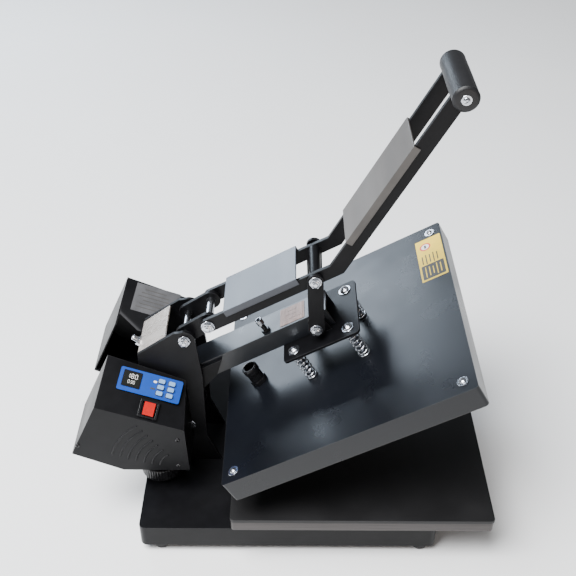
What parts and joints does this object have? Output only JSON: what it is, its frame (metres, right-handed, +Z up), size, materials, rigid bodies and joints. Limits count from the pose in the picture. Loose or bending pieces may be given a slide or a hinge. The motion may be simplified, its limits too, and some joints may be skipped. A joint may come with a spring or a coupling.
{
  "type": "heat press",
  "caption": "Clamshell heat press: sprung square upper platen on a hinged arm, bent lever with grip, flat lower platen on a base and side control boxes.",
  "frame": {"origin": "centre of the whole press's box, at the bottom of its feet", "axes": "+X towards the operator and the grip, +Y to the side away from the control panel, +Z up"},
  "size_m": [0.6136, 0.38, 0.6905],
  "materials": {
    "black_paint": "satin black powder coat",
    "zinc": "bright zinc plate",
    "steel": "machined",
    "aluminium": "milled edge, dull",
    "silicone": "smooth matt silicone",
    "rubber": "moulded rubber",
    "cover_strip": "bright satin",
    "panel_blue": "printed membrane",
    "display": "clear window over a dark display",
    "button": "pale keys",
    "rocker_red": "translucent red",
    "black_plastic": "moulded",
    "board_green": "circuit board",
    "dark_plate": "dark coated aluminium",
    "wool": "mineral wool"
  },
  "bodies": {
    "frame": {"base_frame": "black_paint", "foot_rear_left": "rubber", "foot_rear_right": "rubber", "foot_front_left": "rubber", "foot_front_right": "rubber", "silicone_pad": "silicone", "lower_platen": "aluminium", "riser_rear": "black_paint", "riser_front": "black_paint", "upright_left": "black_paint", "upright_right": "black_paint", "fulcrum_plate_left": "black_paint", "fulcrum_plate_right": "black_paint", "upright_cover": "cover_strip", "main_hinge_pin": "zinc", "fulcrum_rear_bolt": "zinc", "fulcrum_bolt": "zinc", "control_box": "black_paint", "power_box": "black_paint", "controller_board": "board_green", "power_inlet": "black_plastic", "control_panel": "panel_blue", "display_window": "display", "rocker_bezel": "black_plastic", "pressure_screw": "steel"},
    "arm": {"arm_beam": "black_paint", "arm_cheek_left": "black_paint", "arm_cheek_right": "black_paint", "arm_bracket": "black_paint", "strap_foot_bolt": "zinc", "spring_rear_left": "zinc", "spring_rear_right": "zinc", "spring_front_left": "zinc", "spring_front_right": "zinc"},
    "platen": {"platen_cover": "black_paint", "heating_plate": "dark_plate", "insulation": "wool", "cable_gland": "black_plastic", "guide_bolt_rear_left": "zinc", "guide_bolt_rear_right": "zinc", "guide_bolt_front_left": "zinc", "guide_bolt_front_right": "zinc"},
    "lever": {"lever_bar_left": "black_paint", "lever_bar_right": "black_paint", "rear_cover": "black_paint", "front_cover": "black_paint", "knee_spacer": "black_paint", "grip": "rubber"},
    "straps": {"strap_left": "black_paint", "strap_right": "black_paint", "knee_bolt_left": "zinc", "knee_bolt_right": "zinc"},
    "pressure_wheel": {"pressure_wheel": "black_plastic"},
    "rocker": {"rocker_switch": "rocker_red"},
    "button_1_1": {"button_1_1": "button"},
    "button_1_2": {"button_1_2": "button"},
    "button_1_3": {"button_1_3": "button"},
    "button_2_1": {"button_2_1": "button"},
    "button_2_2": {"button_2_2": "button"},
    "button_2_3": {"button_2_3": "button"}
  },
  "joints": [
    {"name": "arm_hinge", "type": "hinge", "parent": "frame", "child": "arm", "pos_m": [-0.13965, 0, 0.1283], "axis": [0, 1, 0], "range_deg": [0, 29.9]},
    {"name": "platen_float", "type": "slide", "parent": "arm", "child": "platen", "axis": [-0.4985, 0, 0.8669], "range_m": [0, 0.003], "stiffness_N_per_m": 9000, "springref_m": -0.012, "deforming": ["spring_rear_left", "spring_rear_right", "spring_front_left", "spring_front_right"]},
    {"name": "lever_fulcrum", "type": "hinge", "parent": "frame", "child": "lever", "pos_m": [-0.10375, 0, 0.3199], "axis": [0, 1, 0], "range_deg": [0, 54]},
    {"name": "strap_pivot", "type": "hinge", "parent": "arm", "child": "straps", "pos_m": [0.04875, 0, 0.32223], "axis": [0, 1, 0], "range_deg": [-82.9, 0]},
    {"name": "pressure_wheel_turn", "type": "hinge", "parent": "frame", "child": "pressure_wheel", "pos_m": [-0.18515, -0.062, 0.068], "axis": [0, 0, 1], "continuous": true},
    {"name": "rocker_tilt", "type": "hinge", "parent": "frame", "child": "rocker", "pos_m": [-0.18904, -0.09679, 0.21506], "axis": [0.9388, 0, -0.3445], "range_deg": [-6, 6]},
    {"name": "button_1_1_press", "type": "slide", "parent": "frame", "child": "button_1_1", "axis": [-0.2936, 0.5231, -0.8001], "range_m": [0, 0.0008], "stiffness_N_per_m": 300, "springref_m": -0.001},
    {"name": "button_1_2_press", "type": "slide", "parent": "frame", "child": "button_1_2", "axis": [-0.2936, 0.5231, -0.8001], "range_m": [0, 0.0008], "stiffness_N_per_m": 300, "springref_m": -0.001},
    {"name": "button_1_3_press", "type": "slide", "parent": "frame", "child": "button_1_3", "axis": [-0.2936, 0.5231, -0.8001], "range_m": [0, 0.0008], "stiffness_N_per_m": 300, "springref_m": -0.001},
    {"name": "button_2_1_press", "type": "slide", "parent": "frame", "child": "button_2_1", "axis": [-0.2936, 0.5231, -0.8001], "range_m": [0, 0.0008], "stiffness_N_per_m": 300, "springref_m": -0.001},
    {"name": "button_2_2_press", "type": "slide", "parent": "frame", "child": "button_2_2", "axis": [-0.2936, 0.5231, -0.8001], "range_m": [0, 0.0008], "stiffness_N_per_m": 300, "springref_m": -0.001},
    {"name": "button_2_3_press", "type": "slide", "parent": "frame", "child": "button_2_3", "axis": [-0.2936, 0.5231, -0.8001], "range_m": [0, 0.0008], "stiffness_N_per_m": 300, "springref_m": -0.001}
  ],
  "couplings": [
    {"joint": "lever_fulcrum", "follows": "arm_hinge", "ratio": 1.7992},
    {"joint": "strap_pivot", "follows": "arm_hinge", "ratio": -2.7659}
  ]
}
